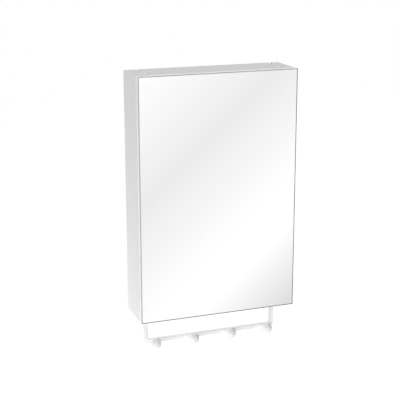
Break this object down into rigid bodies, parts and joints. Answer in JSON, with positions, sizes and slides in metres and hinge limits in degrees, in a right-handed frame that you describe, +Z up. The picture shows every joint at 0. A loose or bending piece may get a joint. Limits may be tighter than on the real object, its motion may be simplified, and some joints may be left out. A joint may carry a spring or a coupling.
{
  "type": "medicine cabinet",
  "caption": "Wall-hung cabinet with a full mirror door, a push latch, glass shelves and a square rail with ball hooks below it.",
  "frame": {"origin": "centre of the cabinet's rear face, on the wall", "axes": "+Z up, -Y out from the wall towards the user, +X to the user's right"},
  "size_m": [0.5, 0.148, 0.8639],
  "materials": {
    "white_board": "white melamine on particle board",
    "white_edge_band": "matt white edging",
    "back_board": "white painted fibreboard",
    "mirror": "silvered glass with a bevelled edge",
    "shelf_glass": "clear tempered glass",
    "bright_steel": "nickel-plated steel",
    "zinc": "die-cast zinc",
    "beech": "ribbed beech dowel",
    "white_steel": "white powder coat",
    "white_gloss": "glossy white",
    "latch_plastic": "moulded white plastic",
    "clear_rubber": "soft clear pad"
  },
  "bodies": {
    "cabinet": {"side_panel_left": "white_board", "side_panel_right": "white_board", "top_panel": "white_board", "bottom_panel": "white_board", "back_panel": "back_board", "hanging_rail_upper": "white_board", "hanging_rail_lower": "white_board", "carcass_edge_bands": "white_edge_band", "dowels": "beech", "cam_bolts": "bright_steel", "cam_locks": "zinc", "shelf_upper": "shelf_glass", "shelf_lower": "shelf_glass", "shelf_pins": "bright_steel", "door_bumpers": "clear_rubber", "hinge_plate_upper": "bright_steel", "hinge_plate_lower": "bright_steel", "hinge_plate_screws": "bright_steel", "hinge_arm_upper": "bright_steel", "hinge_arm_lower": "bright_steel", "hinge_arm_screws": "bright_steel", "latch_housing": "latch_plastic", "latch_screws": "bright_steel", "latch_spring": "bright_steel", "hook_rail": "white_steel", "rail_feet": "white_steel", "rail_screws": "bright_steel", "hook_ball_1": "white_gloss", "hook_ball_2": "white_gloss", "hook_ball_3": "white_gloss", "hook_ball_4": "white_gloss", "hook_stems": "white_steel", "hook_screws": "bright_steel", "top_plugs": "white_gloss"},
    "door": {"door_board": "white_board", "door_edge_bands": "white_edge_band", "mirror_pane": "mirror", "hinge_cup_upper": "bright_steel", "hinge_cup_lower": "bright_steel", "hinge_pins": "bright_steel", "hinge_cup_screws": "bright_steel", "latch_strike": "bright_steel", "strike_screws": "bright_steel"},
    "plunger": {"latch_plunger": "latch_plastic"}
  },
  "joints": [
    {"name": "door_swing", "type": "hinge", "parent": "cabinet", "child": "door", "pos_m": [0.2434, -0.1371, 0], "axis": [0, 0, 1], "range_deg": [0, 95]},
    {"name": "plunger_push", "type": "slide", "parent": "cabinet", "child": "plunger", "axis": [0, 1, 0], "range_m": [0, 0.0015], "stiffness_N_per_m": 800, "springref_m": -0.003}
  ]
}
